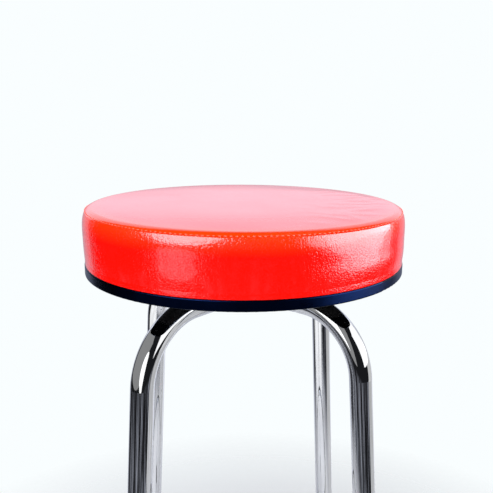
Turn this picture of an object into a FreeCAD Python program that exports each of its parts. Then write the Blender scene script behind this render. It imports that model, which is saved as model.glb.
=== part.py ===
import FreeCAD, Part
import math
import os
import re

import Sketcher
from FreeCAD import Placement, Rotation, Vector

# A round workshop stool: an upholstered seat that turns on a flat ball swivel, on four bent tube legs.
# Millimetres, +Z up. The origin is on the floor, on the seat's axis; the front faces -Y.

DIMENSIONS = {
    # Legs: the angle of the first one about the axis, their lean, and the bend under the seat
    "stance_angle": 45,
    "frame_top": 644,
    "foot_circle_radius": 205.5,
    "leg_splay": 4.4,
    "leg_tube": 25,
    "leg_wall": 1.5,
    "leg_bend_radius": 75,
    "leg_inner_end": 18,
    # Bolts of one thread join the frame and the seat
    "bolt": 6,
    "bolt_head": 10.5,
    "bolt_head_height": 3.3,
    "bolt_clearance": 0.4,
    "bolt_tip": 0.5,
    "thread_gap": 0.1,
    "leg_bolt_inner": 32,
    "leg_bolt_outer": 78,
    "leg_bolt_access": 13,
    # Gap left under a head or beside a tube that another piece bears on
    "bearing_gap": 0.05,
    # Rubber ferrules
    "ferrule_sole": 6,
    "ferrule_wall": 3.5,
    "ferrule_length": 38,
    "ferrule_flare": 2,
    "ferrule_flare_height": 9,
    "ferrule_fit": 0.1,
    # Foot ring, held off the legs by saddles
    "ring_height": 230,
    "ring_tube": 19,
    "ring_wall": 1.5,
    "saddle_thickness": 3,
    "saddle_diameter": 16,
    "cap_nut_flats": 10,
    "cap_nut_hex": 5,
    "cap_nut_dome": 9.4,
    "cap_nut_height": 9,
    "cap_nut_thread": 6,
    # Swivel plates
    "plate_side": 150,
    "plate_corner": 14,
    "plate_bolt_radius": 89,
    "base_plate": 4,
    "top_plate": 2.5,
    "dish_radius": 60,
    "dish_depth": 11.2,
    "dish_slope": 4,
    # Ball race
    "race_radius": 50,
    "race_gap": 4.3,
    "race_fit": 0.05,
    "ball": 6.35,
    "ball_count": 20,
    "cage_width": 13,
    "cage_thickness": 1.5,
    "cage_fit": 0.2,
    # King bolt
    "pivot": 12,
    "pivot_fit": 0.05,
    "pivot_flats": 19,
    "pivot_head_height": 7.5,
    "pivot_washer": 30,
    "pivot_washer_thickness": 2.5,
    "pivot_nut_height": 9,
    "pivot_end_play": 0.1,
    "pivot_tail": 2,
    # Seat board and its threaded inserts
    "board_radius": 177.5,
    "board_thickness": 12,
    "board_hole": 45,
    "tee_nut_flange": 19,
    "tee_nut_flange_thickness": 1.5,
    "tee_nut_barrel": 8,
    "tee_nut_length": 9,
    "tee_nut_fit": 0.2,
    "seat_bolt_tip": 1.5,
    # Cushion
    "cover_thickness": 1.2,
    "seam_height": 54,
    "seam_draw": 1,
    "edge_roll": 4.5,
    "crown": 3,
    "soft_gap": 0.3,
    "hem_width": 28,
    # Black rim and its screws
    "trim_fit": 0.1,
    "trim_wall": 3.9,
    "trim_lip": 1.5,
    "trim_lip_width": 34,
    "trim_step": 3.5,
    "trim_edge": 1.4,
    "trim_proud": 0.5,
    "trim_screw": 3.2,
    "trim_screw_head": 6.5,
    "trim_screw_head_height": 1.8,
    "trim_screw_length": 10,
    "trim_screw_inset": 15,
    "trim_screw_count": 8,
    # Staples, bedded in the hem
    "staple_width": 10,
    "staple_wire": 1,
    "staple_leg": 7,
    "staple_inset": 5,
    "staple_count": 36,
}

# Levels, radii and places that follow from the driving dimensions
DERIVED = {
    "tube_radius": "leg_tube / 2",
    "tube_bore": "tube_radius - leg_wall",
    "tube_axis": "frame_top - tube_radius",
    "leg_corner": "foot_circle_radius - tube_axis * tan(leg_splay)",
    "bend_tangent": "leg_bend_radius * tan(45 - leg_splay / 2)",
    "leg_end": "ferrule_sole + tube_radius * sin(leg_splay)",
    "bolt_radius": "bolt / 2",
    "bolt_hole": "(bolt + bolt_clearance) / 2",
    "thread_hole": "(bolt + thread_gap) / 2",
    "leg_bolt_seat": "tube_axis + sqrt(tube_bore ^ 2 - (bolt_head / 2) ^ 2) - bearing_gap",
    "ferrule_bore": "tube_radius + ferrule_fit",
    "ferrule_radius": "ferrule_bore + ferrule_wall",
    "ring_offset": "tube_radius + saddle_thickness + ring_tube / 2",
    "ring_bolt_height": "ring_height + ring_offset * sin(leg_splay)",
    "ring_bolt_radius": "foot_circle_radius - ring_bolt_height * tan(leg_splay)",
    "ring_radius": "ring_bolt_radius - ring_offset * cos(leg_splay)",
    "cap_nut_seat": "ring_offset + ring_tube / 2 + bearing_gap",
    "base_top": "frame_top + base_plate",
    "race_level": "base_top + race_gap / 2",
    "dish_floor": "base_top + race_gap",
    "flange_under": "dish_floor + dish_depth",
    "flange_ring": "dish_radius + dish_slope + top_plate",
    "washer_under": "dish_floor + top_plate + pivot_end_play",
    "pivot_nut_under": "washer_under + pivot_washer_thickness",
    "pivot_nut_top": "pivot_nut_under + pivot_nut_height",
    "pivot_hole": "(pivot + thread_gap) / 2",
    "board_under": "flange_under + top_plate",
    "board_top": "board_under + board_thickness",
    "hem_under": "board_under - cover_thickness",
    "hem_radius": "board_radius + trim_fit + cover_thickness",
    "hem_inner": "hem_radius - hem_width",
    "lip_top": "hem_under - trim_fit",
    "trim_under": "lip_top - trim_lip",
    "trim_top": "board_top - trim_step",
    "trim_inner": "hem_radius + soft_gap",
    "trim_outer": "trim_inner + trim_wall",
    "lip_inner": "trim_outer - trim_lip_width",
    "trim_screw_radius": "trim_outer - trim_screw_inset",
    "tuck": "trim_top + soft_gap",
    "tuck_round": "trim_wall / 2",
    "seam_radius": "trim_outer - trim_proud - seam_draw",
    "seam": "board_top + seam_height",
    "edge_radius": "seam_radius - edge_roll",
    "edge_level": "seam + edge_roll",
    "crown_top": "edge_level + crown",
    "crown_arc": "(edge_radius ^ 2 + crown ^ 2) / (2 * crown)",
    "side_chord": "seam - tuck - tuck_round",
    "side_arc": "side_chord ^ 2 / (8 * seam_draw) + seam_draw / 2",
    "staple_radius": "hem_inner + staple_inset",
}

doc = FreeCAD.newDocument("stool")
sheet = doc.addObject("Spreadsheet::Sheet", "dims")
for row, (name, number) in enumerate(DIMENSIONS.items(), start=1):
    sheet.set(f"A{row}", name)
    sheet.set(f"B{row}", str(number))
    sheet.setAlias(f"B{row}", name)
doc.recompute()


def bound(formula):
    """Write a formula of the names above as an expression that reads only cells of the sheet."""

    def cell(match):
        word = match[0]
        if word in DERIVED:
            return "(" + bound(DERIVED[word]) + ")"
        return f"dims.{word}" if word in DIMENSIONS else word

    return re.sub(r"[a-z]\w*", cell, formula)


def size(formula):
    return float(sheet.evalExpression(bound(formula)))


def tie(thing, path, formula):
    thing.setExpression(path, bound(formula))


def new_body(label, quarter=0):
    """Start a piece whose own X axis lies along a leg, a number of quarter turns from the first."""
    body = doc.addObject("PartDesign::Body", label)
    body.Label = label
    body.Placement = Placement(Vector(), Rotation(Vector(0, 0, 1), 1))
    tie(body, "Placement.Rotation.Angle", f"stance_angle + {90 * quarter}")
    return body


def origin_feature(body, role):
    return next(feature for feature in body.Origin.OriginFeatures if feature.Role == role)


def new_sketch(body, name, plane, base=(), turn_axis=None, angle=None):
    """Attach a sketch to a plane of its body, moved by base and turned by angle about turn_axis."""
    sketch = body.newObject("Sketcher::SketchObject", name)
    sketch.AttachmentSupport = [(origin_feature(body, plane), "")]
    sketch.MapMode = "FlatFace"
    if angle:
        sketch.AttachmentOffset = Placement(Vector(), Rotation(turn_axis, 1))
        tie(sketch, "AttachmentOffset.Rotation.Angle", angle)
    for axis, formula in zip("xyz", base):
        tie(sketch, f"AttachmentOffset.Base.{axis}", formula)
    return sketch


def constrain(sketch, wanted):
    """Add dimensions, each given as its formula, its kind and the geometry that it holds."""
    rules = [Sketcher.Constraint(kind, *held, size(formula)) for formula, kind, held in wanted]
    for index, (formula, _, _) in zip(sketch.addConstraint(rules), wanted):
        tie(sketch, f"Constraints[{index}]", formula)


def arc_between(start, end, radius, side):
    """Give the lesser arc from start to end that turns to the side named."""
    across = end - start
    reach = math.sqrt(max(radius**2 - (across.Length / 2) ** 2, 0))
    leftward = Vector(-across.y, across.x, 0).normalize()
    centre = (start + end) / 2 + leftward * (reach if side == "left" else -reach)
    first, last = (start, end) if side == "left" else (end, start)
    angles = [math.atan2(point.y - centre.y, point.x - centre.x) for point in (first, last)]
    return Part.ArcOfCircle(Part.Circle(centre, Vector(0, 0, 1), radius), *angles)


def draw(sketch, corners, closed=True):
    """Draw an outline: a corner is x, y and, where an arc follows it, the arc's side and radius."""
    points = [Vector(size(corner[0]), size(corner[1]), 0) for corner in corners]
    count = len(corners) if closed else len(corners) - 1
    wanted = []
    ends = []
    for index in range(count):
        start, end = points[index], points[(index + 1) % len(points)]
        x, y, *arc = corners[index]
        if arc:
            side, radius = arc
            edge = sketch.addGeometry(arc_between(start, end, size(radius), side))
            wanted.append((radius, "Radius", (edge,)))
            ends.append((edge, 1, 2) if side == "left" else (edge, 2, 1))
        else:
            edge = sketch.addGeometry(Part.LineSegment(start, end))
            ends.append((edge, 1, 2))
        wanted += [(x, "DistanceX", ends[-1][:2]), (y, "DistanceY", ends[-1][:2])]
    if not closed:
        edge, _, last = ends[-1]
        x, y = corners[-1][:2]
        wanted += [(x, "DistanceX", (edge, last)), (y, "DistanceY", (edge, last))]
    for index in range(count if closed else count - 1):
        edge, _, last = ends[index]
        following, first, _ = ends[(index + 1) % count]
        sketch.addConstraint(Sketcher.Constraint("Coincident", edge, last, following, first))
    constrain(sketch, wanted)


def draw_circle(sketch, x, y, radius):
    circle = Part.Circle(Vector(size(x), size(y), 0), Vector(0, 0, 1), size(radius))
    edge = sketch.addGeometry(circle)
    middle = (edge, 3)
    constrain(
        sketch,
        [(x, "DistanceX", middle), (y, "DistanceY", middle), (radius, "Radius", (edge,))],
    )


def revolve(body, name, sketch, cut):
    kind = "PartDesign::Groove" if cut else "PartDesign::Revolution"
    feature = body.newObject(kind, name)
    feature.Profile = sketch
    feature.ReferenceAxis = (sketch, ["V_Axis"])
    feature.Angle = 360
    return feature


def turn(body, name, corners, at=("0", "0"), tilt=None, cut=False):
    """Turn an outline of radius and height about an axis in the leg's plane, at a place and tilt."""
    sketch = new_sketch(body, f"{name}_outline", "XZ_Plane", at, Vector(0, 0, 1), tilt)
    draw(sketch, corners)
    return revolve(body, name, sketch, cut)


def bore(body, name, radius, low, high, at=("0", "0"), tilt=None):
    """Cut a round hole between two heights on its axis."""
    corners = [("0", low), (radius, low), (radius, high), ("0", high)]
    return turn(body, name, corners, at, tilt, cut=True)


def ring_groove(body, name, x, z, radius):
    """Cut a groove of round section about the stool's axis."""
    sketch = new_sketch(body, f"{name}_section", "XZ_Plane")
    draw_circle(sketch, x, z, radius)
    return revolve(body, name, sketch, cut=True)


def pad(body, name, sketch, length, kind="PartDesign::Pad"):
    feature = body.newObject(kind, name)
    feature.Profile = sketch
    tie(feature, "Length", length)
    return feature


def hexagon(sketch, flats):
    corner = f"{flats} / sqrt(3)"
    draw(sketch, [(f"{corner} * cos({60 * k})", f"{corner} * sin({60 * k})") for k in range(6)])


def around(body, originals, count):
    """Repeat features evenly about the stool's axis."""
    doc.recompute()
    pattern = body.newObject("PartDesign::PolarPattern", f"{body.Name}_round")
    pattern.Originals = originals
    pattern.Axis = (origin_feature(body, "Z_Axis"), [""])
    pattern.Angle = 360
    tie(pattern, "Occurrences", count)
    body.Tip = pattern
    return pattern


LEGS = "4"
RING_BOLT = {"at": ("ring_bolt_radius", "ring_bolt_height"), "tilt": "90 + leg_splay"}


def leg(label, quarter):
    """Bend a tube from its inner end, out under the seat and down to the floor."""
    body = new_body(label, quarter)
    path = new_sketch(body, f"{label}_path", "XZ_Plane")
    bend_end = ("leg_corner + bend_tangent * sin(leg_splay)", "tube_axis - bend_tangent * cos(leg_splay)")
    corners = [
        ("leg_inner_end", "tube_axis"),
        ("leg_corner - bend_tangent", "tube_axis", "right", "leg_bend_radius"),
        bend_end,
        ("foot_circle_radius - leg_end * tan(leg_splay)", "leg_end"),
    ]
    draw(path, corners, closed=False)
    section = new_sketch(body, f"{label}_section", "YZ_Plane", ("0", "0", "leg_inner_end"))
    for radius in ("tube_radius", "tube_bore"):
        draw_circle(section, "0", "tube_axis", radius)
    tube = body.newObject("PartDesign::AdditivePipe", f"{label}_tube")
    tube.Profile = section
    tube.Spine = (path, [])
    doc.recompute()
    for place in ("leg_bolt_inner", "leg_bolt_outer"):
        access = [
            ("0", "-leg_tube"),
            ("leg_bolt_access / 2", "-leg_tube"),
            ("leg_bolt_access / 2", "0"),
            ("bolt_hole", "0"),
            ("bolt_hole", "leg_tube"),
            ("0", "leg_tube"),
        ]
        turn(body, f"{label}_{place}", access, (place, "tube_axis"), cut=True)
    bore(body, f"{label}_ring_bolt", "bolt_hole", "-leg_tube", "leg_tube", **RING_BOLT)
    return body


def ferrule(label, quarter):
    """Turn a rubber foot about the leg's axis and cut its sole level with the floor."""
    body = new_body(label, quarter)
    below = "-2 * (ferrule_radius + ferrule_flare) * tan(leg_splay)"
    corners = [
        ("0", below),
        ("ferrule_radius + ferrule_flare", below),
        ("ferrule_radius + ferrule_flare", "ferrule_flare_height"),
        ("ferrule_radius", "ferrule_flare_height + 2 * ferrule_flare"),
        ("ferrule_radius", "ferrule_length"),
        ("ferrule_bore", "ferrule_length"),
        ("ferrule_bore", "leg_end / cos(leg_splay)"),
        ("0", "leg_end / cos(leg_splay)"),
    ]
    turn(body, f"{label}_rubber", corners, ("foot_circle_radius", "0"), "leg_splay")
    floor = new_sketch(body, f"{label}_floor", "XY_Plane")
    draw_circle(floor, "foot_circle_radius", "0", "2 * (ferrule_radius + ferrule_flare)")
    sole = body.newObject("PartDesign::Pocket", f"{label}_sole")
    sole.Profile = floor
    sole.Type = "ThroughAll"
    return body


def bolt_outline(head_under, tip):
    """Outline a button head bolt on its axis, from its head down below head_under up to its tip."""
    return [
        ("0", f"{head_under} - bolt_head_height"),
        ("bolt_head / 4", f"{head_under} - bolt_head_height"),
        ("bolt_head / 2", f"{head_under} - bolt_head_height / 3"),
        ("bolt_head / 2", head_under),
        ("bolt_radius", head_under),
        ("bolt_radius", tip),
        ("0", tip),
    ]


def leg_bolts():
    """Stand two bolts inside each tube, through its upper wall into the base plate."""
    body = new_body("leg_bolts")
    outline = bolt_outline("leg_bolt_seat", "base_top - bolt_tip")
    places = ("leg_bolt_inner", "leg_bolt_outer")
    bolts = [turn(body, f"{place}_turned", outline, (place, "0")) for place in places]
    around(body, bolts, LEGS)
    return body


def foot_ring():
    body = new_body("foot_ring")
    section = new_sketch(body, "ring_section", "XZ_Plane")
    for radius in ("ring_tube / 2", "ring_tube / 2 - ring_wall"):
        draw_circle(section, "ring_radius", "ring_height", radius)
    revolve(body, "ring_bent", section, cut=False)
    reach = "ring_tube"
    hole = bore(
        body, "ring_hole", "bolt_hole", f"ring_offset - {reach}", f"ring_offset + {reach}", **RING_BOLT
    )
    around(body, [hole], LEGS)
    return body


def ring_saddles():
    """Fill between each leg and the ring with a pad that is hollowed to both tubes."""
    body = new_body("ring_saddles")
    radius = "saddle_diameter / 2"
    corners = [("0", "0"), (radius, "0"), (radius, "ring_offset"), ("0", "ring_offset")]
    saddle = turn(body, "saddle", corners, **RING_BOLT)
    leg_seat = bore(
        body,
        "saddle_leg_seat",
        "tube_radius + bearing_gap",
        "-saddle_diameter",
        "saddle_diameter",
        RING_BOLT["at"],
        "leg_splay",
    )
    ring_seat = ring_groove(
        body, "saddle_ring_seat", "ring_radius", "ring_height", "ring_tube / 2 + bearing_gap"
    )
    hole = bore(body, "saddle_hole", "bolt_hole", "0", "ring_offset", **RING_BOLT)
    around(body, [saddle, leg_seat, ring_seat, hole], LEGS)
    return body


def ring_bolts():
    body = new_body("ring_bolts")
    outline = bolt_outline("-tube_radius - bearing_gap", "cap_nut_seat + cap_nut_thread - bolt_tip")
    around(body, [turn(body, "ring_bolt", outline, **RING_BOLT)], LEGS)
    return body


def ring_cap_nuts():
    """Close each ring bolt with a domed nut on the inside of the ring."""
    body = new_body("ring_cap_nuts")
    base = (
        "0",
        "ring_bolt_height - cap_nut_seat * sin(leg_splay)",
        "ring_bolt_radius - cap_nut_seat * cos(leg_splay)",
    )
    section = new_sketch(body, "cap_nut_section", "YZ_Plane", base, Vector(-1, 0, 0), "leg_splay")
    hexagon(section, "cap_nut_flats")
    flats = pad(body, "cap_nut_flats_pad", section, "cap_nut_hex")
    flats.Reversed = True
    rise = "(cap_nut_height - cap_nut_hex)"
    dome_arc = f"((cap_nut_dome / 2) ^ 2 + {rise} ^ 2) / (2 * {rise})"
    corners = [
        ("0", "cap_nut_seat"),
        ("cap_nut_dome / 2", "cap_nut_seat"),
        ("cap_nut_dome / 2", "cap_nut_seat + cap_nut_hex", "left", dome_arc),
        ("0", "cap_nut_seat + cap_nut_height"),
    ]
    dome = turn(body, "cap_nut_domed", corners, **RING_BOLT)
    mouth, end = "cap_nut_seat - bolt", "cap_nut_seat + cap_nut_thread"
    thread = bore(body, "cap_nut_hole", "thread_hole", mouth, end, **RING_BOLT)
    around(body, [flats, dome, thread], LEGS)
    return body


def square_plate(body, under, thickness, hole):
    """Pad a square with rounded corners, one on the leg's line, and a round hole."""
    sketch = new_sketch(body, f"{body.Name}_square", "XY_Plane", ("0", "0", under))
    half = "plate_side / 2"
    run = f"({half} - plate_corner)"
    corners = []
    for k in range(4):
        along, across = f"cos({45 + 90 * k})", f"sin({45 + 90 * k})"
        for first, second, arc in ((half, f"-{run}", ()), (half, run, ("left", "plate_corner"))):
            x = f"({first}) * {along} - ({second}) * {across}"
            y = f"({first}) * {across} + ({second}) * {along}"
            corners.append((x, y, *arc))
    draw(sketch, corners)
    draw_circle(sketch, "0", "0", hole)
    return pad(body, f"{body.Name}_pad", sketch, thickness)


def swivel_base_plate():
    """Lower half of the swivel: a flat plate with a ball groove and tapped holes over the legs."""
    body = new_body("swivel_base_plate")
    square_plate(body, "frame_top", "base_plate", "pivot_hole")
    ring_groove(body, "base_race", "race_radius", "race_level", "ball / 2 + race_fit")
    places = ("leg_bolt_inner", "leg_bolt_outer")
    holes = [
        bore(body, f"{place}_tapped", "thread_hole", "frame_top - bolt", "base_top + bolt", (place, "0"))
        for place in places
    ]
    around(body, holes, LEGS)
    return body


def swivel_top_plate():
    """Upper half of the swivel: a square flange under the board, dished down to the balls."""
    body = new_body("swivel_top_plate")
    square_plate(body, "flange_under", "top_plate", "flange_ring - top_plate")
    corners = [
        ("pivot / 2 + pivot_fit", "dish_floor"),
        ("dish_radius", "dish_floor"),
        ("dish_radius + dish_slope", "flange_under"),
        ("flange_ring", "flange_under"),
        ("flange_ring", "board_under"),
        ("dish_radius + dish_slope - top_plate", "board_under"),
        ("dish_radius - top_plate", "dish_floor + top_plate"),
        ("pivot / 2 + pivot_fit", "dish_floor + top_plate"),
    ]
    turn(body, "dish", corners)
    ring_groove(body, "top_race", "race_radius", "race_level", "ball / 2 + race_fit")
    place = ("plate_bolt_radius", "0")
    hole = bore(body, "flange_hole", "bolt_hole", "flange_under - bolt", "board_under + bolt", place)
    around(body, [hole], LEGS)
    return body


def bearing_balls():
    body = new_body("bearing_balls")
    radius = "ball / 2"
    corners = [
        ("0", f"-{radius}", "left", radius),
        (radius, "0", "left", radius),
        ("0", radius),
    ]
    around(body, [turn(body, "one_ball", corners, ("race_radius", "race_level"))], "ball_count")
    return body


def ball_cage():
    body = new_body("ball_cage")
    inner, outer = "race_radius - cage_width / 2", "race_radius + cage_width / 2"
    low, high = "race_level - cage_thickness / 2", "race_level + cage_thickness / 2"
    turn(body, "cage_ring", [(inner, low), (outer, low), (outer, high), (inner, high)])
    pocket = bore(
        body, "cage_pocket", "ball / 2 + cage_fit", "-ball", "ball", ("race_radius", "race_level")
    )
    around(body, [pocket], "ball_count")
    return body


def pivot_bolt():
    body = new_body("pivot_bolt")
    section = new_sketch(body, "pivot_head_section", "XY_Plane", ("0", "0", "frame_top - pivot_head_height"))
    hexagon(section, "pivot_flats")
    pad(body, "pivot_head", section, "pivot_head_height")
    radius, end = "pivot / 2", "pivot_nut_top + pivot_tail"
    start = "frame_top - pivot_head_height / 2"
    turn(body, "pivot_shank", [("0", start), (radius, start), (radius, end), ("0", end)])
    return body


def pivot_washer():
    body = new_body("pivot_washer")
    inner, outer = "pivot_hole", "pivot_washer / 2"
    low, high = "washer_under", "pivot_nut_under"
    turn(body, "washer_ring", [(inner, low), (outer, low), (outer, high), (inner, high)])
    return body


def pivot_nut():
    body = new_body("pivot_nut")
    section = new_sketch(body, "pivot_nut_section", "XY_Plane", ("0", "0", "pivot_nut_under"))
    hexagon(section, "pivot_flats")
    draw_circle(section, "0", "0", "pivot_hole")
    pad(body, "pivot_nut_pad", section, "pivot_nut_height")
    return body


def seat_board():
    """Plywood disc with a hole over the king bolt, holes for the inserts and pilot holes for the rim."""
    body = new_body("seat_board")
    inner = "board_hole / 2"
    corners = [
        (inner, "board_under"),
        ("board_radius", "board_under"),
        ("board_radius", "board_top"),
        (inner, "board_top"),
    ]
    turn(body, "plywood", corners)
    barrel = "(tee_nut_barrel + tee_nut_fit) / 2"
    flange = "(tee_nut_flange + tee_nut_fit) / 2"
    seat = "board_top - tee_nut_flange_thickness"
    stepped = [
        ("0", "board_under - bolt"),
        (barrel, "board_under - bolt"),
        (barrel, seat),
        (flange, seat),
        (flange, "board_top + bolt"),
        ("0", "board_top + bolt"),
    ]
    insert_hole = turn(body, "insert_hole", stepped, ("plate_bolt_radius", "0"), cut=True)
    around(body, [insert_hole], LEGS)
    pilot = bore(
        body,
        "rim_pilot",
        "(trim_screw + thread_gap) / 2",
        "board_under - bolt",
        "trim_under + trim_screw_length + bolt_tip",
        ("trim_screw_radius", "0"),
    )
    around(body, [pilot], "trim_screw_count")
    return body


def seat_tee_nuts():
    body = new_body("seat_tee_nuts")
    barrel, flange = "tee_nut_barrel / 2", "tee_nut_flange / 2"
    low, seat = "board_top - tee_nut_length", "board_top - tee_nut_flange_thickness"
    corners = [
        ("thread_hole", low),
        (barrel, low),
        (barrel, seat),
        (flange, seat),
        (flange, "board_top"),
        ("thread_hole", "board_top"),
    ]
    around(body, [turn(body, "tee_nut", corners, ("plate_bolt_radius", "0"))], LEGS)
    return body


def seat_bolts():
    body = new_body("seat_bolts")
    outline = bolt_outline("flange_under", "board_top - seat_bolt_tip")
    around(body, [turn(body, "seat_bolt", outline, ("plate_bolt_radius", "0"))], LEGS)
    return body


def cushion_crown(drop):
    """Outline the cushion's top from the seam to the axis, a distance inside the cover's face."""
    rolled = f"edge_roll - ({drop})"
    return [
        (f"seam_radius - ({drop})", "seam", "left", rolled),
        ("edge_radius", f"edge_level - ({drop})", "left", "crown_arc"),
        ("0", f"crown_top - ({drop})"),
    ]


def foam_pad():
    """Foam core on the board, with the cushion's crown and rolled edge."""
    body = new_body("foam_pad")
    inside = "cover_thickness + soft_gap"
    corners = [("0", "board_top"), (f"seam_radius - ({inside})", "board_top"), *cushion_crown(inside)]
    turn(body, "foam", corners)
    return body


def cover_top_panel():
    """Vinyl disc over the crown, rolled down at its edge to the seam."""
    body = new_body("cover_top_panel")
    sheet_edge = "cover_thickness"
    outside = cushion_crown("0")
    crown_in = [
        ("0", f"crown_top - {sheet_edge}", "right", "crown_arc"),
        ("edge_radius", f"edge_level - {sheet_edge}", "right", f"edge_roll - {sheet_edge}"),
        (f"seam_radius - {sheet_edge}", "seam"),
    ]
    turn(body, "top_vinyl", outside + crown_in)
    return body


def cover_side_band():
    """Vinyl boxing that bulges below the seam, tucks in behind the rim and is turned under the board."""
    body = new_body("cover_side_band")
    inner = "seam_radius - cover_thickness"
    corners = [
        ("seam_radius", "seam", "right", "side_arc"),
        ("seam_radius", "tuck + tuck_round", "right", "tuck_round"),
        ("seam_radius - tuck_round", "tuck"),
        ("hem_radius", "tuck"),
        ("hem_radius", "hem_under"),
        ("hem_inner", "hem_under"),
        ("hem_inner", "board_under"),
        ("hem_radius - cover_thickness", "board_under"),
        ("hem_radius - cover_thickness", "board_top"),
        (inner, "board_top"),
        (inner, "seam"),
    ]
    turn(body, "side_vinyl", corners)
    hole = bore(
        body,
        "hem_hole",
        "(trim_screw + bolt_clearance) / 2",
        "hem_under - bolt",
        "board_under",
        ("trim_screw_radius", "0"),
    )
    around(body, [hole], "trim_screw_count")
    return body


def edge_trim():
    """Black rim of L section round the board, with its lip under the hem."""
    body = new_body("edge_trim")
    corners = [
        ("trim_inner", "trim_top"),
        ("trim_inner", "lip_top"),
        ("lip_inner", "lip_top"),
        ("lip_inner", "trim_under"),
        ("trim_outer - trim_edge", "trim_under", "left", "trim_edge"),
        ("trim_outer", "trim_under + trim_edge"),
        ("trim_outer", "trim_top - trim_edge", "left", "trim_edge"),
        ("trim_outer - trim_edge", "trim_top"),
    ]
    turn(body, "rim", corners)
    hole = bore(
        body,
        "rim_hole",
        "(trim_screw + bolt_clearance) / 2",
        "trim_under - bolt",
        "lip_top + bolt_tip",
        ("trim_screw_radius", "0"),
    )
    around(body, [hole], "trim_screw_count")
    return body


def trim_screws():
    body = new_body("trim_screws")
    head, shank = "trim_screw_head / 2", "trim_screw / 2"
    tip = "trim_under + trim_screw_length"
    corners = [
        ("0", "trim_under - trim_screw_head_height"),
        (f"{head} / 2", "trim_under - trim_screw_head_height"),
        (head, "trim_under - trim_screw_head_height / 2"),
        (head, "trim_under"),
        (shank, "trim_under"),
        (shank, f"{tip} - trim_screw"),
        ("0", tip),
    ]
    around(body, [turn(body, "trim_screw_turned", corners, ("trim_screw_radius", "0"))], "trim_screw_count")
    return body


def cover_staples():
    """Wire staples driven up into the board until they lie flush in the hem, over the rim's lip."""
    body = new_body("cover_staples")
    section = new_sketch(body, "staple_section", "YZ_Plane", ("0", "0", "staple_radius - staple_wire / 2"))
    half, inside = "staple_width / 2", "(staple_width / 2 - staple_wire)"
    crown, tip = "hem_under + staple_wire", "hem_under + staple_leg"
    corners = [
        (f"-{half}", "hem_under"),
        (half, "hem_under"),
        (half, tip),
        (inside, tip),
        (inside, crown),
        (f"-{inside}", crown),
        (f"-{inside}", tip),
        (f"-{half}", tip),
    ]
    draw(section, corners)
    around(body, [pad(body, "staple", section, "staple_wire")], "staple_count")
    return body


corner_names = ("back_right", "back_left", "front_left", "front_right")
pieces = []
for quarter, corner in enumerate(corner_names):
    pieces.append(leg(f"leg_{corner}", quarter))
    pieces.append(ferrule(f"foot_{corner}", quarter))
for make in (
    leg_bolts,
    foot_ring,
    ring_saddles,
    ring_bolts,
    ring_cap_nuts,
    swivel_base_plate,
    swivel_top_plate,
    bearing_balls,
    ball_cage,
    pivot_bolt,
    pivot_washer,
    pivot_nut,
    seat_board,
    seat_tee_nuts,
    seat_bolts,
    foam_pad,
    cover_top_panel,
    cover_side_band,
    edge_trim,
    trim_screws,
    cover_staples,
):
    pieces.append(make())
doc.recompute()

for thing in doc.Objects:
    if "Invalid" in thing.State or "Error" in thing.State:
        raise RuntimeError(f"{thing.Label} did not build: {thing.State}")
for piece in pieces:
    if piece.Shape.isNull() or not piece.Shape.isValid():
        raise RuntimeError(f"{piece.Label} has no sound shape")

os.makedirs("parts", exist_ok=True)
for piece in pieces:
    piece.Shape.exportStep(f"parts/{piece.Label}.step")
    print(f"{piece.Label}: {len(piece.Shape.Solids)} solids, {piece.Shape.Volume:.1f} mm3")
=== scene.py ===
import math

import bmesh
import bpy
from mathutils import Matrix, Vector, noise


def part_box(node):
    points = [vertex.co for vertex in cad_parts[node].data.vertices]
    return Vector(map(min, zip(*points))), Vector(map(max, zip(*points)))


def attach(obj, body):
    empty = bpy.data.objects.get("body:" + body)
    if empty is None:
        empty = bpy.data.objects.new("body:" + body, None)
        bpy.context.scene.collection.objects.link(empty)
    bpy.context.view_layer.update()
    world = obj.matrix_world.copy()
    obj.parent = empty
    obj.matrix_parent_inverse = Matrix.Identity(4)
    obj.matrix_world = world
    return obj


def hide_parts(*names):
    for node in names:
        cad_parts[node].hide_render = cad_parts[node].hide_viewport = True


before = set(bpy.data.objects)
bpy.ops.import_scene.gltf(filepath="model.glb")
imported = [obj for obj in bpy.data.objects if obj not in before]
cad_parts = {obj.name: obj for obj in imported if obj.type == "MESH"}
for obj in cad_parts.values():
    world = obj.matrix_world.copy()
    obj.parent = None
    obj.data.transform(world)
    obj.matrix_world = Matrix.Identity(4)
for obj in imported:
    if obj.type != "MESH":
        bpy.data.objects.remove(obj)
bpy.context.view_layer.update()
scene = bpy.context.scene

# Levels and radii of the seat, read from the frame, in metres
RIM_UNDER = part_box("edge_trim")[0].z
RIM_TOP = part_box("edge_trim")[1].z
SEAM_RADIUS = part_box("cover_top_panel")[1].x
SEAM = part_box("cover_top_panel")[0].z
CROWN_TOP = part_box("cover_top_panel")[1].z
HEM_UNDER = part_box("cover_side_band")[0].z
BOARD_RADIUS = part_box("seat_board")[1].x
BOARD_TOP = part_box("seat_board")[1].z

# Upholstery
VINYL = 0.0012
CROWN = 0.003
HEM_INNER = 0.1508
SEWN_RADIUS = SEAM_RADIUS - 0.0007
SEAM_TUCK = 0.0012
SEAM_GAP = 0.00003
SHOULDER_SET = 0.0034
BULGE_RADIUS = 0.030
BULGE_SLOPE = math.radians(24)
BULGE = BULGE_RADIUS * (1 - math.cos(BULGE_SLOPE))
FOLD_RISE = 0.0056
FOLD_WIDTH = 0.0012
FIT = 0.0003
COVER_STEPS = 192
PANEL_ROWS = 30
FLAT_SET = 0.006
SHOULDER_ROUND = 0.0042
SEWN_ROUND = 0.0001
SEWN_BAND = 0.002

# The boxing's way out past the seam, as shares of its bulge
FULL_SHARE = 0.93
ABOVE_FOLD_SHARE = 0.68
FOLD_SHARE = 0.64
UNDER_FOLD_SHARE = 0.65
RIM_SHARE = 0.60

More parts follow.
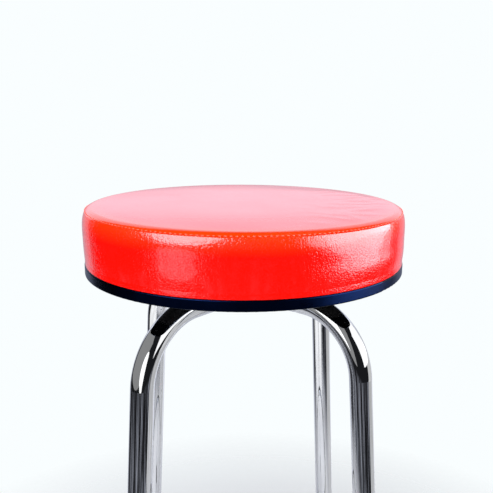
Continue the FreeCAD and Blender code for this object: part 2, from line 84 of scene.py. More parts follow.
# Depth of the boxing's full part under the seam, steps of its curve and its longest uncut edge
FULL_DROP = 0.026
BULGE_STEPS = 6
LONG_EDGE = 0.008

# Swelling of the cover: settings chosen for its form, and limits in metres
PRESSURE = 4
SOLVER_STEPS = 12
SWELL_FRAMES = 20
PANEL_STIFFNESS = 40
PANEL_SWELL = 0.001
BOXING_STIFFNESS = 0.4
BOXING_SWELL = 0.0008

# Creases and waves of the cover
PANEL_WAVE = 0.0005
PANEL_CREASE = 0.0009
CREASE_SIDE = math.radians(80)
CREASE_FROM = 0.05
CREASE_FULL = 0.14
CREASE_FADE = 0.02
BOXING_WAVE = 0.0007
FOLD_STILL = 0.004
FOLD_FREE = 0.012
SEAM_FREE = 0.012

# Thread and foam
STITCH_PITCH = 0.0052
STITCH_RISE = 0.0012
THREAD_RADIUS = 0.0006
FOAM_ROWS = 12
FOAM_STEPS = 96
FOAM_EDGE = 0.004
FOAM_FOOT = 0.002

# The photograph's view: pixels of its 493 wide frame, metres and radians
PHOTO_WIDTH = 493
FOCAL_PIXELS = 627.2
AXIS_PIXELS = 45.0
CAMERA_REACH = 0.7274
CAMERA_RISE = 0.18255
CAMERA_PITCH = 0.2179
CAMERA_YAW = 0.0735
CAMERA_ROLL = 0.0172
STOOL_TURN = 0.0738


def level(angle):
    """Direction on the floor at an angle from the camera's side, positive to the picture's right."""
    turned = angle - STOOL_TURN
    return Vector((math.sin(turned), -math.cos(turned), 0))


def photo_camera():
    data = bpy.data.cameras.new("photo_camera")
    data.lens = FOCAL_PIXELS / PHOTO_WIDTH * data.sensor_width
    data.shift_x = -AXIS_PIXELS / PHOTO_WIDTH
    data.clip_start = 0.01
    camera = bpy.data.objects.new("photo_camera", data)
    scene.collection.objects.link(camera)
    ahead = -level(-CAMERA_YAW) * math.cos(CAMERA_PITCH) - Vector((0, 0, math.sin(CAMERA_PITCH)))
    right = ahead.cross(Vector((0, 0, 1))).normalized()
    up = right.cross(ahead)
    rolled_right = right * math.cos(CAMERA_ROLL) + up * math.sin(CAMERA_ROLL)
    rolled_up = up * math.cos(CAMERA_ROLL) - right * math.sin(CAMERA_ROLL)
    turn = Matrix((rolled_right, rolled_up, -ahead)).transposed().to_4x4()
    place = level(0) * CAMERA_REACH + Vector((0, 0, RIM_UNDER + CAMERA_RISE))
    camera.matrix_world = Matrix.Translation(place) @ turn
    scene.camera = camera


# Shader building


def add(tree, kind, **settings):
    """Add a node and set its properties."""
    node = tree.nodes.new(kind)
    for name, value in settings.items():
        setattr(node, name, value)
    return node


def put(node, **values):
    for name, value in values.items():
        node.inputs[name.replace("_", " ")].default_value = value
    return node


def link(tree, source, target):
    tree.links.new(source, target)


def new_material(name, **values):
    material = bpy.data.materials.new(name)
    material.use_nodes = True
    tree = material.node_tree
    shader = tree.nodes["Principled BSDF"]
    put(shader, **values)
    return material, tree, shader


def place_on(tree, scale=(1, 1, 1), kind="Object"):
    """Texture coordinates stretched by a scale on each axis."""
    place = add(tree, "ShaderNodeTexCoord")
    mapping = put(add(tree, "ShaderNodeMapping"), Scale=scale)
    link(tree, place.outputs[kind], mapping.inputs["Vector"])
    return mapping.outputs["Vector"]


def noise_of(tree, place, size, detail=3.0, roughness=0.5):
    """Noise whose lumps are about a size across, in metres."""
    node = put(add(tree, "ShaderNodeTexNoise"), Scale=1 / size, Detail=detail, Roughness=roughness)
    link(tree, place, node.inputs["Vector"])
    return node.outputs["Fac"]


def ranged(tree, value, low, high, to_low, to_high):
    """Stretch a value from one range to another, held at the ends."""
    node = add(tree, "ShaderNodeMapRange")
    for socket, number in zip(node.inputs[1:5], (low, high, to_low, to_high)):
        socket.default_value = number
    link(tree, value, node.inputs["Value"])
    return node.outputs["Result"]


def worked(tree, operation, first, second):
    """One sum on two values, each a socket or a number."""
    node = add(tree, "ShaderNodeMath", operation=operation)
    for socket, value in zip(node.inputs, (first, second)):
        if isinstance(value, (int, float)):
            socket.default_value = value
        else:
            link(tree, value, socket)
    return node.outputs["Value"]


def mixed(tree, share, first, second):
    """Mix two colours, each a socket or a plain colour, by a share from a socket."""
    node = add(tree, "ShaderNodeMix", data_type="RGBA", blend_type="MIX")
    sockets = [socket for socket in node.inputs if socket.type == "RGBA"]
    for socket, colour in zip(sockets, (first, second)):
        if isinstance(colour, tuple):
            socket.default_value = (*colour, 1)
        else:
            link(tree, colour, socket)
    factor = next(socket for socket in node.inputs if socket.type == "VALUE")
    link(tree, share, factor)
    return next(socket for socket in node.outputs if socket.type == "RGBA")


def bumped(tree, shader, height, depth):
    """Raise the shader's surface by a height of about a depth in metres."""
    node = put(add(tree, "ShaderNodeBump"), Strength=1.0, Distance=depth)
    link(tree, height, node.inputs["Height"])
    link(tree, node.outputs["Normal"], shader.inputs["Normal"])


def new_group(name, inputs, outputs):
    group = bpy.data.node_groups.new(name, "ShaderNodeTree")
    for label, number in inputs.items():
        given = group.interface.new_socket(label, in_out="INPUT", socket_type="NodeSocketFloat")
        given.default_value = number
    for label in outputs:
        group.interface.new_socket(label, in_out="OUTPUT", socket_type="NodeSocketFloat")
    return group, add(group, "NodeGroupInput"), add(group, "NodeGroupOutput")


def placed(tree, group, **values):
    return put(add(tree, "ShaderNodeGroup", node_tree=group), **values)


def handling_group():
    """Smears, specks and fine rubbing that break up any finish."""
    group, _, out = new_group("handling_marks", {}, ("Smears", "Specks", "Rubbing"))
    smears = noise_of(group, place_on(group), 0.06, 5, 0.6)
    link(group, ranged(group, smears, 0.38, 0.68, 0, 1), out.inputs["Smears"])
    specks = noise_of(group, place_on(group), 0.0018, 2)
    link(group, ranged(group, specks, 0.66, 0.74, 0, 1), out.inputs["Specks"])
    rubbing = noise_of(group, place_on(group, (1, 1, 0.06)), 0.0012, 2)
    link(group, rubbing, out.inputs["Rubbing"])
    return group


def pebble_group():
    """Pebbled grain of coated cloth: cells with rounded tops, creases that run up the cover, and a share
    for painted shade in the pits between the cells.
    """
    group, given, out = new_group("pebble_grain", {"Cells": 500.0, "Creases": 1.0}, ("Height", "Pit_shade"))
    cells = put(add(group, "ShaderNodeTexVoronoi", feature="SMOOTH_F1"), Smoothness=0.35, Randomness=1.0)
    link(group, place_on(group), cells.inputs["Vector"])
    link(group, given.outputs["Cells"], cells.inputs["Scale"])
    domes = ranged(group, cells.outputs["Distance"], 0.0, 0.8, 1, 0)
    creases = noise_of(group, place_on(group, (1, 1, 0.3)), 0.0034, 3, 0.6)
    height = worked(group, "ADD", domes, worked(group, "MULTIPLY", creases, given.outputs["Creases"]))
    link(group, height, out.inputs["Height"])
    link(group, ranged(group, cells.outputs["Distance"], 0.15, 0.75, 0, 1), out.inputs["Pit_shade"])
    return group


HANDLING = handling_group()
PEBBLE = pebble_group()


def vinyl_material(name, depth, creases, painted_light_from, painted_light_to):
    """Glossy red upholstery vinyl, with painted light from one height on to another: an orange cast as
    of brighter light.
    """
    material, tree, shader = new_material(
        name, IOR=1.6, Coat_Weight=0.6, Coat_Roughness=0.08, Coat_IOR=1.5
    )
    grain = placed(tree, PEBBLE, Cells=560.0, Creases=creases)
    marks = placed(tree, HANDLING)
    place = add(tree, "ShaderNodeTexCoord")
    parts = add(tree, "ShaderNodeSeparateXYZ")
    link(tree, place.outputs["Object"], parts.inputs["Vector"])
    stretched = ranged(tree, parts.outputs["Z"], painted_light_from, painted_light_to, 0, 1)
    # Painted light: from the given height on, the red turns orange, as under the brighter light near the
    # seam and on the rolled edge
    colour = mixed(tree, stretched, (0.94, 0.0032, 0.0003), (0.94, 0.034, 0.0006))
    shade = noise_of(tree, place_on(tree), 0.09, 2)
    shaded = mixed(tree, ranged(tree, shade, 0.35, 0.7, 0, 0.2), colour, (0.84, 0.003, 0.0003))
    # Painted shade: the vinyl turns darker in the pits between the grain's cells
    pit_shade_share = ranged(tree, grain.outputs["Pit_shade"], 0, 1, 0, 0.25)
    pit_shaded = mixed(tree, pit_shade_share, shaded, (0.66, 0.003, 0.0003))
    link(tree, pit_shaded, shader.inputs["Base Color"])
    link(tree, ranged(tree, marks.outputs["Smears"], 0, 1, 0.11, 0.17), shader.inputs["Roughness"])
    bumped(tree, shader, grain.outputs["Height"], depth)
    return material


def thread_material():
    material, tree, shader = new_material("red_thread", Roughness=0.25, IOR=1.6)
    twist = add(tree, "ShaderNodeTexWave", wave_type="BANDS", bands_direction="DIAGONAL")
    put(twist, Scale=900.0, Distortion=1.0)
    link(tree, place_on(tree), twist.inputs["Vector"])
    colour = mixed(tree, twist.outputs["Fac"], (0.92, 0.07, 0.03), (0.95, 0.12, 0.06))
    link(tree, colour, shader.inputs["Base Color"])
    bumped(tree, shader, twist.outputs["Fac"], 0.0001)
    return material


def foam_material():
    material, tree, shader = new_material("seat_foam", Roughness=0.95, Sheen_Weight=0.1)
    cells = add(tree, "ShaderNodeTexVoronoi", feature="F1")
    put(cells, Scale=900.0)
    link(tree, place_on(tree), cells.inputs["Vector"])
    colour = mixed(tree, cells.outputs["Distance"], (0.74, 0.62, 0.36), (0.86, 0.77, 0.52))
    link(tree, colour, shader.inputs["Base Color"])
    bumped(tree, shader, cells.outputs["Distance"], 0.0006)
    return material


def rim_material():
    """Edging whose upright side has a painted deep blue reflection tint, and whose flat top and
    underside have painted shade in dull black.
    """
    material, tree, shader = new_material("black_rim", Metallic=1.0, Specular_Tint=(0.85, 0.9, 1, 1))
    marks = placed(tree, HANDLING)
    # Painted reflection: a deep blue tint stands for bluish light reflected on the upright side
    colour = mixed(tree, marks.outputs["Smears"], (0.0032, 0.011, 0.049), (0.0045, 0.0135, 0.056))
    faces = add(tree, "ShaderNodeNewGeometry")
    parts = add(tree, "ShaderNodeSeparateXYZ")
    link(tree, faces.outputs["Normal"], parts.inputs["Vector"])
    # Painted shade: faces that lie flat, on the top and the underside, turn dull black
    lying = ranged(tree, worked(tree, "ABSOLUTE", parts.outputs["Z"], 0.0), 0.25, 0.6, 0, 1)
    painted_shade_flat = mixed(tree, lying, colour, (0.0016, 0.0016, 0.002))
    dust = ranged(tree, marks.outputs["Specks"], 0, 1, 0, 0.03)
    dusty = mixed(tree, dust, painted_shade_flat, (0.10, 0.10, 0.11))
    link(tree, dusty, shader.inputs["Base Color"])
    link(tree, ranged(tree, marks.outputs["Smears"], 0, 1, 0.26, 0.36), shader.inputs["Roughness"])
    texture = noise_of(tree, place_on(tree), 0.0007, 2)
    bumped(tree, shader, texture, 0.00002)
    return material


def chrome_material():
    """Bright plating with smears of handling and the faint lines of the polished tube."""
    material, tree, shader = new_material("chrome", Metallic=1.0)
    marks = placed(tree, HANDLING)
    colour = mixed(tree, marks.outputs["Smears"], (0.86, 0.87, 0.88), (0.80, 0.81, 0.82))
    specks = ranged(tree, marks.outputs["Specks"], 0, 1, 0, 0.12)
    specked = mixed(tree, specks, colour, (0.45, 0.43, 0.40))
    link(tree, specked, shader.inputs["Base Color"])
    smeared = ranged(tree, marks.outputs["Smears"], 0, 1, 0.015, 0.06)
    rough = worked(tree, "ADD", smeared, worked(tree, "MULTIPLY", marks.outputs["Specks"], 0.04))
    link(tree, rough, shader.inputs["Roughness"])
    bumped(tree, shader, marks.outputs["Rubbing"], 0.000003)
    return material


def steel_material(name, colour, worn, roughness, depth):
    """A plated or painted metal that is scuffed to a second colour."""
    material, tree, shader = new_material(name, Metallic=1.0, Roughness=roughness)
    marks = placed(tree, HANDLING)
    tinted = mixed(tree, marks.outputs["Smears"], colour, worn)
    link(tree, tinted, shader.inputs["Base Color"])
    rough = ranged(tree, marks.outputs["Smears"], 0, 1, roughness * 0.8, roughness * 1.4)
    link(tree, rough, shader.inputs["Roughness"])
    bumped(tree, shader, marks.outputs["Rubbing"], depth)
    return material


def paint_material():
    """Black powder coat: an orange peel surface with dust in it."""
    material, tree, shader = new_material("black_powder_coat", Roughness=0.45, IOR=1.5)
    marks = placed(tree, HANDLING)
    smeared = ranged(tree, marks.outputs["Smears"], 0, 1, 0, 0.5)
    colour = mixed(tree, smeared, (0.005, 0.005, 0.0055), (0.014, 0.014, 0.0145))
    dusty = mixed(tree, ranged(tree, marks.outputs["Specks"], 0, 1, 0, 0.2), colour, (0.2, 0.19, 0.17))
    link(tree, dusty, shader.inputs["Base Color"])
    link(tree, ranged(tree, marks.outputs["Smears"], 0, 1, 0.38, 0.56), shader.inputs["Roughness"])
    peel = noise_of(tree, place_on(tree), 0.0011, 1)
    bumped(tree, shader, peel, 0.00008)
    return material


def board_material():
    """Black stained plywood, darkened further as painted shade under the seat: grain on the faces, plies
    on the edge.
    """
    material, tree, shader = new_material("stained_plywood", Specular_IOR_Level=0.2)
    grain = noise_of(tree, place_on(tree, (1, 0.05, 1)), 0.002, 5, 0.6)
    streaked = ranged(tree, grain, 0.35, 0.65, 0, 1)
    # Partly black stain, partly painted shade: the faces are made near black to stand for the shade
    # under the seat
    face = mixed(tree, streaked, (0.0018, 0.0017, 0.0016), (0.005, 0.0045, 0.004))
    plies = add(tree, "ShaderNodeTexWave", wave_type="BANDS", bands_direction="Z")
    put(plies, Scale=160.0, Distortion=0.6, Detail=2.0)
    link(tree, place_on(tree), plies.inputs["Vector"])
    layered = ranged(tree, plies.outputs["Fac"], 0.3, 0.7, 0, 0.3)
    edge = mixed(tree, layered, face, (0.012, 0.009, 0.007))
    link(tree, edge, shader.inputs["Base Color"])
    link(tree, ranged(tree, grain, 0.3, 0.7, 0.65, 0.85), shader.inputs["Roughness"])
    bumped(tree, shader, grain, 0.00015)
    return material


def moulded_material(name, colour, lighter, roughness, size, depth):
    """Rubber, nylon or hard plastic with a fine moulded texture."""
    material, tree, shader = new_material(name, Roughness=roughness)
    marks = placed(tree, HANDLING)
    texture = noise_of(tree, place_on(tree), size, 3)
    shaded = mixed(tree, marks.outputs["Smears"], colour, lighter)
    link(tree, shaded, shader.inputs["Base Color"])
    rough = ranged(tree, texture, 0.3, 0.7, roughness * 0.85, min(1, roughness * 1.2))
    link(tree, rough, shader.inputs["Roughness"])
    bumped(tree, shader, texture, depth)
    return material


# The vinyl is stretched smoother on top, and near the seam and on the rolled edge it has painted light,
# an orange cast as of brighter light
SIDE_GRAIN = 0.00016
TOP_GRAIN = 0.00003
SIDE_PAINTED_LIGHT = 0.018
TOP_PAINTED_LIGHT = 0.001
side_vinyl = vinyl_material("red_vinyl", SIDE_GRAIN, 2.0, SEAM - SIDE_PAINTED_LIGHT, SEAM)
top_vinyl = vinyl_material(
    "stretched_red_vinyl", TOP_GRAIN, 1.7, CROWN_TOP - CROWN + TOP_PAINTED_LIGHT, CROWN_TOP - CROWN
)
thread = thread_material()
foam = foam_material()
rim_plastic = rim_material()
chrome = chrome_material()
zinc = steel_material("zinc_plate", (0.56, 0.56, 0.55), (0.46, 0.46, 0.43), 0.3, 0.000008)
ball_steel = steel_material("bearing_steel", (0.62, 0.62, 0.63), (0.56, 0.55, 0.54), 0.12, 0.000002)
powder_coat = paint_material()
plywood = board_material()
rubber = moulded_material(
    "black_rubber", (0.012, 0.012, 0.012), (0.035, 0.034, 0.032), 0.72, 0.0012, 0.0001
)
saddle_plastic = moulded_material(
    "black_plastic", (0.014, 0.014, 0.015), (0.026, 0.026, 0.027), 0.42, 0.0009, 0.00004
)
nylon = moulded_material("cage_nylon", (0.72, 0.70, 0.60), (0.80, 0.78, 0.70), 0.45, 0.001, 0.00003)

CORNERS = ("front_left", "front_right", "back_left", "back_right")
NODE_FINISHES = {
    "edge_trim": rim_plastic,
    "seat_board": plywood,
    "swivel_top_plate": powder_coat,
    "swivel_base_plate": powder_coat,
    "trim_screws": powder_coat,
    "bearing_balls": ball_steel,
    "ball_cage": nylon,
    "foot_ring": chrome,
    "ring_bolts": chrome,
    "ring_cap_nuts": chrome,
    "ring_saddles": saddle_plastic,
}
for fixing in (
    "cover_staples",
    "seat_tee_nuts",
    "seat_bolts",
    "pivot_bolt",
    "pivot_washer",
    "pivot_nut",
    "leg_bolts",
):
    NODE_FINISHES[fixing] = zinc
for corner in CORNERS:
    NODE_FINISHES[f"leg_{corner}"] = chrome
    NODE_FINISHES[f"foot_{corner}"] = rubber
for node, finish in NODE_FINISHES.items():
    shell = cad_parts[node]
    for place in shell.material_slots:
        place.material = finish


# Upholstery, made in the space of its solids


def outline(corners, rounds, segments=5):
    """Draw a line through corners of radius and height, and round the ones that have a rounding."""
    form = bmesh.new()
    points = [form.verts.new((radius, 0, height)) for radius, height in corners]
    for first, second in zip(points, points[1:]):
        form.edges.new((first, second))
    for index, rounding in rounds.items():
        bmesh.ops.bevel(
            form,
            geom=[points[index]],
            offset=rounding,
            offset_type="OFFSET",
            affect="VERTICES",
            segments=segments,
            profile=0.5,
            material=-1,
        )
    return form


def spun(form, steps):
    """Turn an outline right round the stool's axis."""
    bmesh.ops.spin(
        form,
        geom=form.verts[:] + form.edges[:],
        cent=(0, 0, 0),
        axis=(0, 0, 1),
        angle=2 * math.pi,
        steps=steps,
        use_merge=True,
    )
    bmesh.ops.remove_doubles(form, verts=form.verts, dist=1e-6)
    bmesh.ops.recalc_face_normals(form, faces=form.faces)
    return form


def new_piece(name, form, finish, slot, body, *nodes):
    mesh = bpy.data.meshes.new(name)
    form.to_mesh(mesh)
    form.free()
    mesh.materials.append(finish)
    mesh.shade_smooth()
    piece = bpy.data.objects.new(name, mesh)
    scene.collection.objects.link(piece)
    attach(piece, body)
    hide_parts(*nodes)
    return piece


def outward(spot):
    return Vector((spot.x, spot.y, 0)).normalized()


def ring_of(spot):
    """Radius and height of a point, to a hundredth of a millimetre."""
    return round(math.hypot(spot.x, spot.y), 5), round(spot.z, 5)


def swell(piece, held, stiffness, limit):
    """Press the cover out from inside against its sewn rows, by no more than a limit.

    The solver leaves small uneven waves that differ from run to run, so its steps are fine and each
    ring of the round cover takes the mean of its points.
    """
    start = [vertex.co.copy() for vertex in piece.data.vertices]
    sewn = piece.vertex_groups.new(name="sewn")
    sewn.add([vertex.index for vertex in piece.data.vertices if held(vertex.co)], 1.0, "REPLACE")
    cloth = piece.modifiers.new("swell", "CLOTH")
    cloth.settings.vertex_group_mass = "sewn"
    cloth.settings.quality = SOLVER_STEPS
    cloth.settings.use_pressure = True
    cloth.settings.uniform_pressure_force = PRESSURE
    cloth.settings.effector_weights.gravity = 0
    cloth.settings.tension_stiffness = stiffness
    cloth.settings.compression_stiffness = stiffness
    cloth.point_cache.frame_start = 1
    cloth.point_cache.frame_end = SWELL_FRAMES
    for step in range(1, SWELL_FRAMES + 1):
        scene.frame_set(step)
    pressed = piece.evaluated_get(bpy.context.evaluated_depsgraph_get()).data
    moves = [vertex.co - old for vertex, old in zip(pressed.vertices, start)]
    piece.modifiers.remove(cloth)
    piece.vertex_groups.remove(sewn)
    scene.frame_set(1)
    rings = {}
    for old, move in zip(start, moves):
        rings.setdefault(ring_of(old), []).append((move.dot(outward(old)), move.z))
    means = {}
    for ring, shares in rings.items():
        means[ring] = [sum(share) / len(shares) for share in zip(*shares)]
    kept = min(1, limit / max(math.hypot(*mean) for mean in means.values()))
    for vertex, old in zip(piece.data.vertices, start):
        out, up = means[ring_of(old)]
        vertex.co = old + (outward(old) * out + Vector((0, 0, up))) * kept


def eased(value, start, end):
    """Go smoothly from 0 at start to 1 at end."""
    share = min(1, max(0, (value - start) / (end - start)))
    return share * share * (3 - 2 * share)


def wall(piece):
    """Smooth the cover and give it the vinyl's thickness, inwards."""
    smooth = piece.modifiers.new("smooth", "SUBSURF")
    smooth.levels = smooth.render_levels = 1
    thick = piece.modifiers.new("vinyl", "SOLIDIFY")
    thick.thickness = VINYL
    thick.offset = -1


EDGE_ROLL = CROWN_TOP - CROWN - SEAM
EDGE_LEVEL = SEAM + EDGE_ROLL
SHOULDER_RADIUS = SEWN_RADIUS - SHOULDER_SET
FLAT_RADIUS = SHOULDER_RADIUS - FLAT_SET


def crown(radius):
    return EDGE_LEVEL + CROWN * (1 - (radius / SHOULDER_RADIUS) ** 2)


def crown_line(rows, below=0):
    """Corners along the crown, from the axis to where the edge starts to round over."""
    radii = [FLAT_RADIUS * row / rows for row in range(rows + 1)]
    return [(radius, crown(radius) - below) for radius in radii]


def past_flat(spot):
    return math.hypot(spot.x, spot.y) > FLAT_RADIUS


def top_panel():
    """Sewn disc over the crown, rounded over its edge and drawn in at the seam."""
    corners = crown_line(PANEL_ROWS) + [
        (SHOULDER_RADIUS, EDGE_LEVEL),
        (SEWN_RADIUS, SEAM + SEAM_GAP),
        (SEWN_RADIUS - SEAM_TUCK, SEAM + SEAM_GAP),
    ]
    shoulder, sewn = PANEL_ROWS + 1, PANEL_ROWS + 2
    form = spun(outline(corners, {sewn: SEWN_ROUND, shoulder: SHOULDER_ROUND}, 6), COVER_STEPS)
    panel = new_piece("top_panel", form, top_vinyl, "red_vinyl", "seat", "cover_top_panel")
    swell(panel, past_flat, PANEL_STIFFNESS, PANEL_SWELL)
    for vertex in panel.data.vertices:
        spot = vertex.co
        inside = 1 - eased(math.hypot(spot.x, spot.y), FLAT_RADIUS - CREASE_FADE, FLAT_RADIUS)
        creased = eased(spot.dot(level(CREASE_SIDE)), CREASE_FROM, CREASE_FULL)
        fold = 1 - abs(noise.noise(Vector((spot.x * 20, spot.y * 36, 0))))
        wave = PANEL_WAVE * noise.noise(spot * 14)
        spot.z += inside * (wave + PANEL_CREASE * creased * fold ** 5)
    wall(panel)
    return panel


def side_boxing():
    """Side of the cushion: full under the seam, drawn in behind the rim and turned under the board."""
    behind_rim = BOARD_RADIUS + VINYL
    fold = RIM_TOP + FOLD_RISE

    def sewn_or_tucked(spot):
        return spot.z < fold or spot.z > SEAM - SEWN_BAND

    corners = [(SEWN_RADIUS - SEAM_TUCK, SEAM - SEAM_GAP)]
    for step in range(BULGE_STEPS + 1):
        slope = BULGE_SLOPE * (1 - step / BULGE_STEPS)
        out = BULGE_RADIUS * (math.cos(slope) - math.cos(BULGE_SLOPE))
        drop = BULGE_RADIUS * (math.sin(BULGE_SLOPE) - math.sin(slope))
        corners.append((SEWN_RADIUS + out, SEAM - SEAM_GAP - drop))
    corners += [
        (SEWN_RADIUS + BULGE * FULL_SHARE, SEAM - FULL_DROP),
        (SEWN_RADIUS + BULGE * ABOVE_FOLD_SHARE, fold + FOLD_WIDTH),
        (SEWN_RADIUS + BULGE * FOLD_SHARE, fold),
        (SEWN_RADIUS + BULGE * UNDER_FOLD_SHARE, fold - FOLD_WIDTH),
        (SEWN_RADIUS + BULGE * RIM_SHARE, RIM_TOP + SEAM_GAP),
        (behind_rim, RIM_TOP + SEAM_GAP),
        (behind_rim, HEM_UNDER),
        (HEM_INNER, HEM_UNDER),
    ]
    # Rounding of a corner by its place in the list, from the hem up to the seam
    rounds = {14: 0.001, 12: 0.0004, 10: 0.0003, 8: 0.007, 1: SEWN_ROUND}
    form = outline(corners, rounds, 4)
    long_edges = [edge for edge in form.edges if edge.calc_length() > LONG_EDGE]
    bmesh.ops.subdivide_edges(form, edges=long_edges, cuts=2)
    boxing = new_piece(
        "side_boxing", spun(form, COVER_STEPS), side_vinyl, "red_vinyl", "seat", "cover_side_band"
    )
    swell(boxing, sewn_or_tucked, BOXING_STIFFNESS, BOXING_SWELL)
    for vertex in boxing.data.vertices:
        spot = vertex.co
        above_fold = eased(spot.z, fold - FOLD_STILL, fold + FOLD_FREE)
        free = above_fold * (1 - eased(spot.z, SEAM - SEAM_FREE, SEAM - SEWN_BAND))
        stretched = Vector((spot.x * 14, spot.y * 14, spot.z * 34))
        vertex.co += outward(spot) * (BOXING_WAVE * free * noise.noise(stretched))
    wall(boxing)
    return boxing


def seam_stitches():
    """Topstitches that stand just above the seam, one thread length after another."""
    inward = SHOULDER_SET * STITCH_RISE / EDGE_ROLL
    count = round(2 * math.pi * SEAM_RADIUS / STITCH_PITCH)
    half_size = (THREAD_RADIUS, STITCH_PITCH * 0.3, THREAD_RADIUS)
    form = bmesh.new()
    made = bmesh.ops.create_uvsphere(form, u_segments=6, v_segments=4, radius=1)
    bmesh.ops.scale(form, vec=half_size, verts=made["verts"])
    bmesh.ops.translate(
        form, vec=(SEWN_RADIUS - inward, 0, SEAM + STITCH_RISE), verts=made["verts"]
    )
    bmesh.ops.spin(
        form,
        geom=form.verts[:] + form.edges[:] + form.faces[:],
        cent=(0, 0, 0),
        axis=(0, 0, 1),
        angle=2 * math.pi * (count - 1) / count,
        steps=count - 1,
        use_duplicate=True,
    )
    return new_piece("seam_stitches", form, thread, "red_vinyl", "seat")


def foam_core():
    """Crowned foam block under the cover."""
    inside = VINYL + FIT + SEAM_TUCK
    corners = crown_line(FOAM_ROWS, inside) + [
        (SEWN_RADIUS - inside, SEAM - EDGE_ROLL),
        (SEWN_RADIUS - inside, BOARD_TOP + FIT),
        (0, BOARD_TOP + FIT),
    ]
    form = spun(outline(corners, {FOAM_ROWS + 2: FOAM_FOOT, FOAM_ROWS + 1: FOAM_EDGE}), FOAM_STEPS)
    block = new_piece("foam_core", form, foam, "foam", "seat", "foam_pad")


panel = top_panel()
boxing = side_boxing()
stitches = seam_stitches()
foam_core()


# Studio

FLOOR_RADIUS = 0.9
FADE_FROM = 0.36
FADE_TO = 0.8
LAMP_REACH = 3.0
EVEN_LIGHT = 0.2
COOL_LIGHT = (0.92, 0.95, 1.06)
PLAIN_LIGHT = (1, 1, 1)


def studio_floor():
    """Pale floor that holds the shadow and fades out into the white room."""
    form = bmesh.new()
    bmesh.ops.create_circle(form, cap_ends=True, segments=96, radius=FLOOR_RADIUS)
    mesh = bpy.data.meshes.new("studio_floor")
    form.to_mesh(mesh)
    form.free()
    floor = bpy.data.objects.new("studio_floor", mesh)
    scene.collection.objects.link(floor)
    material, tree, shader = new_material("pale_floor", Base_Color=(0.86, 0.86, 0.86, 1), Roughness=0.9)
    place = add(tree, "ShaderNodeTexCoord")
    distance = add(tree, "ShaderNodeVectorMath", operation="LENGTH")
    link(tree, place.outputs["Object"], distance.inputs[0])
    faded = ranged(tree, distance.outputs["Value"], FADE_FROM, FADE_TO, 0, 1)
    clear = add(tree, "ShaderNodeBsdfTransparent")
    blend = add(tree, "ShaderNodeMixShader")
    link(tree, faded, blend.inputs["Fac"])
    link(tree, shader.outputs["BSDF"], blend.inputs[1])
    link(tree, clear.outputs["BSDF"], blend.inputs[2])
    link(tree, blend.outputs["Shader"], tree.nodes["Material Output"].inputs["Surface"])
    mesh.materials.append(material)
    return floor


def studio_world():
    """Even dim light, and for mirrored rays a room with a white wall behind and thin lines low down."""
    world = bpy.data.worlds.new("studio")
    world.use_nodes = True
    tree = world.node_tree
    scene.world = world
    place = add(tree, "ShaderNodeTexCoord")

    def towards(direction):
        dot = add(tree, "ShaderNodeVectorMath", operation="DOT_PRODUCT")
        link(tree, place.outputs["Generated"], dot.inputs[0])
        dot.inputs[1].default_value = direction
        return dot.outputs["Value"]

    def bound(value, start, end, first, last):
        """Go from a first strength to a last one between two angles in degrees."""
        return ranged(tree, value, math.radians(start), math.radians(end), first, last)

    azimuth = worked(tree, "ARCTAN2", towards(level(math.pi / 2)), towards(level(0)))
    aside = worked(tree, "ABSOLUTE", azimuth, 0.0)
    height = worked(tree, "ARCSINE", towards(Vector((0, 0, 1))), 0.0)
    wall_behind = worked(tree, "MULTIPLY", bound(aside, 132, 135, 0, 1), bound(height, 0, 8, 0.45, 1.0))
    wall_behind = worked(tree, "MULTIPLY", wall_behind, bound(height, 46, 56, 1, 0))
    streaks = noise_of(tree, place_on(tree, (1, 1, 0.12), "Generated"), 0.07, 2)
    thin = ranged(tree, streaks, 0.50, 0.66, 0, 0.42)
    lines = worked(tree, "MULTIPLY", thin, bound(height, -22, -15, 1, 0))
    lit = worked(tree, "ADD", wall_behind, worked(tree, "ADD", lines, 0.012))
    ray = add(tree, "ShaderNodeLightPath")
    mirrored = worked(tree, "MAXIMUM", ray.outputs["Is Glossy Ray"], ray.outputs["Is Transmission Ray"])
    room = add(tree, "ShaderNodeMix", data_type="FLOAT")
    link(tree, mirrored, room.inputs[0])
    room.inputs[2].default_value = EVEN_LIGHT
    link(tree, lit, room.inputs[3])
    seen = add(tree, "ShaderNodeMix", data_type="FLOAT")
    link(tree, ray.outputs["Is Camera Ray"], seen.inputs[0])
    link(tree, room.outputs[0], seen.inputs[2])
    seen.inputs[3].default_value = 1.0
    shade = tree.nodes["Background"]
    cool = mixed(tree, ray.outputs["Is Camera Ray"], (0.92, 0.96, 1.12), (0.95, 0.99, 1.0))
    link(tree, cool, shade.inputs["Color"])
    link(tree, seen.outputs[0], shade.inputs["Strength"])


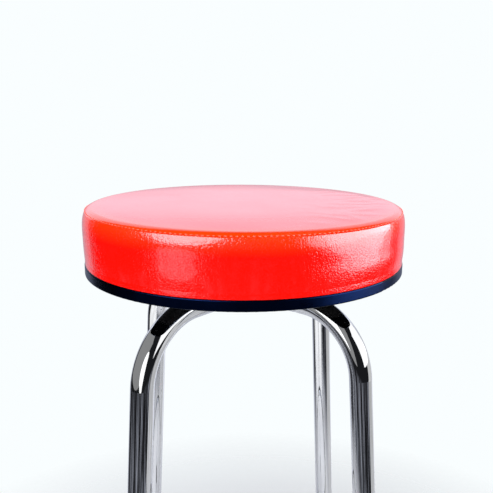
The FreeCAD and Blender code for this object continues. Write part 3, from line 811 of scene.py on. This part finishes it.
def softbox(name, sides, heights, radiance, lit=(), colour=COOL_LIGHT, round_form=False):
    """Hang a lamp between two angles from the camera's side and two heights, in degrees.

    It lights the pieces that are given, or everything.
    """
    across, tall = (math.radians(end - start) / 2 for start, end in (sides, heights))
    angle, tilt = (math.radians(start + end) / 2 for start, end in (sides, heights))
    data = bpy.data.lights.new(name, "AREA")
    data.shape = "RECTANGLE"
    data.color = colour
    data.size = 2 * LAMP_REACH * math.tan(across)
    data.size_y = 2 * LAMP_REACH * math.tan(tall)
    data.energy = radiance * math.pi * data.size * data.size_y
    if round_form:
        data.shape = "ELLIPSE"
        data.energy *= math.pi / 4
    lamp = bpy.data.objects.new(name, data)
    scene.collection.objects.link(lamp)
    back = level(angle) * math.cos(tilt) + Vector((0, 0, math.sin(tilt)))
    lamp.location = Vector((0, 0, SEAM)) + back * LAMP_REACH
    lamp.rotation_euler = back.to_track_quat("Z", "Y").to_euler()
    lamp.visible_camera = False
    if lit:
        group = bpy.data.collections.new(name + "_lit")
        for piece in lit:
            group.objects.link(piece)
        lamp.light_linking.receiver_collection = group
    return lamp


photo_camera()
floor = studio_floor()
studio_world()
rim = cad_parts["edge_trim"]
cushion = (panel, boxing, stitches, rim)
sides = (boxing, stitches, rim)
softbox("left_box", (-67, -19), (5, 50), 5.8, cushion, round_form=True)
softbox("left_glow", (-59, -32), (-20, -6), 1.5, (boxing,), round_form=True)
softbox("right_core", (42, 118), (-17, 46), 3.1, sides, round_form=True)
softbox("right_high", (55, 116), (0, 40), 3.6, sides)
softbox("right_low", (58, 116), (-14, 0), 1.6, sides)
panel_soft = softbox("panel_soft", (20, 110), (20, 80), 3.8, (panel, stitches))
panel_soft.visible_glossy = False
tubes = [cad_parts[f"leg_{corner}"] for corner in CORNERS]
bright = tubes + [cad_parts[node] for node in ("foot_ring", "ring_bolts", "ring_cap_nuts")]
softbox("left_wall", (-120, -15), (-15, 60), 0.26, bright, PLAIN_LIGHT)
softbox("front_strip", (-30, 5), (-19, 27), 1.3, tubes[:1], PLAIN_LIGHT, True)
softbox("inner_strip", (-64, -36), (-8, 70), 1.3, tubes[1:2], PLAIN_LIGHT)
softbox("right_wall", (40, 125), (-2, 50), 1.2, bright, PLAIN_LIGHT)
softbox("right_shade", (75, 135), (-20, 5), 0.6, bright, PLAIN_LIGHT)
softbox("right_foot", (75, 150), (-45, -20), 0.45, bright, PLAIN_LIGHT)
softbox("back_glow", (-95, -5), (-50, -20), 0.9, tubes[2:], PLAIN_LIGHT, True)
softbox("floor_light", (-30, 30), (50, 90), 3.3, (floor,), PLAIN_LIGHT)
fill = softbox("fill", (-90, 10), (0, 50), 1.6)
fill.visible_glossy = False

scene.view_settings.view_transform = "Standard"
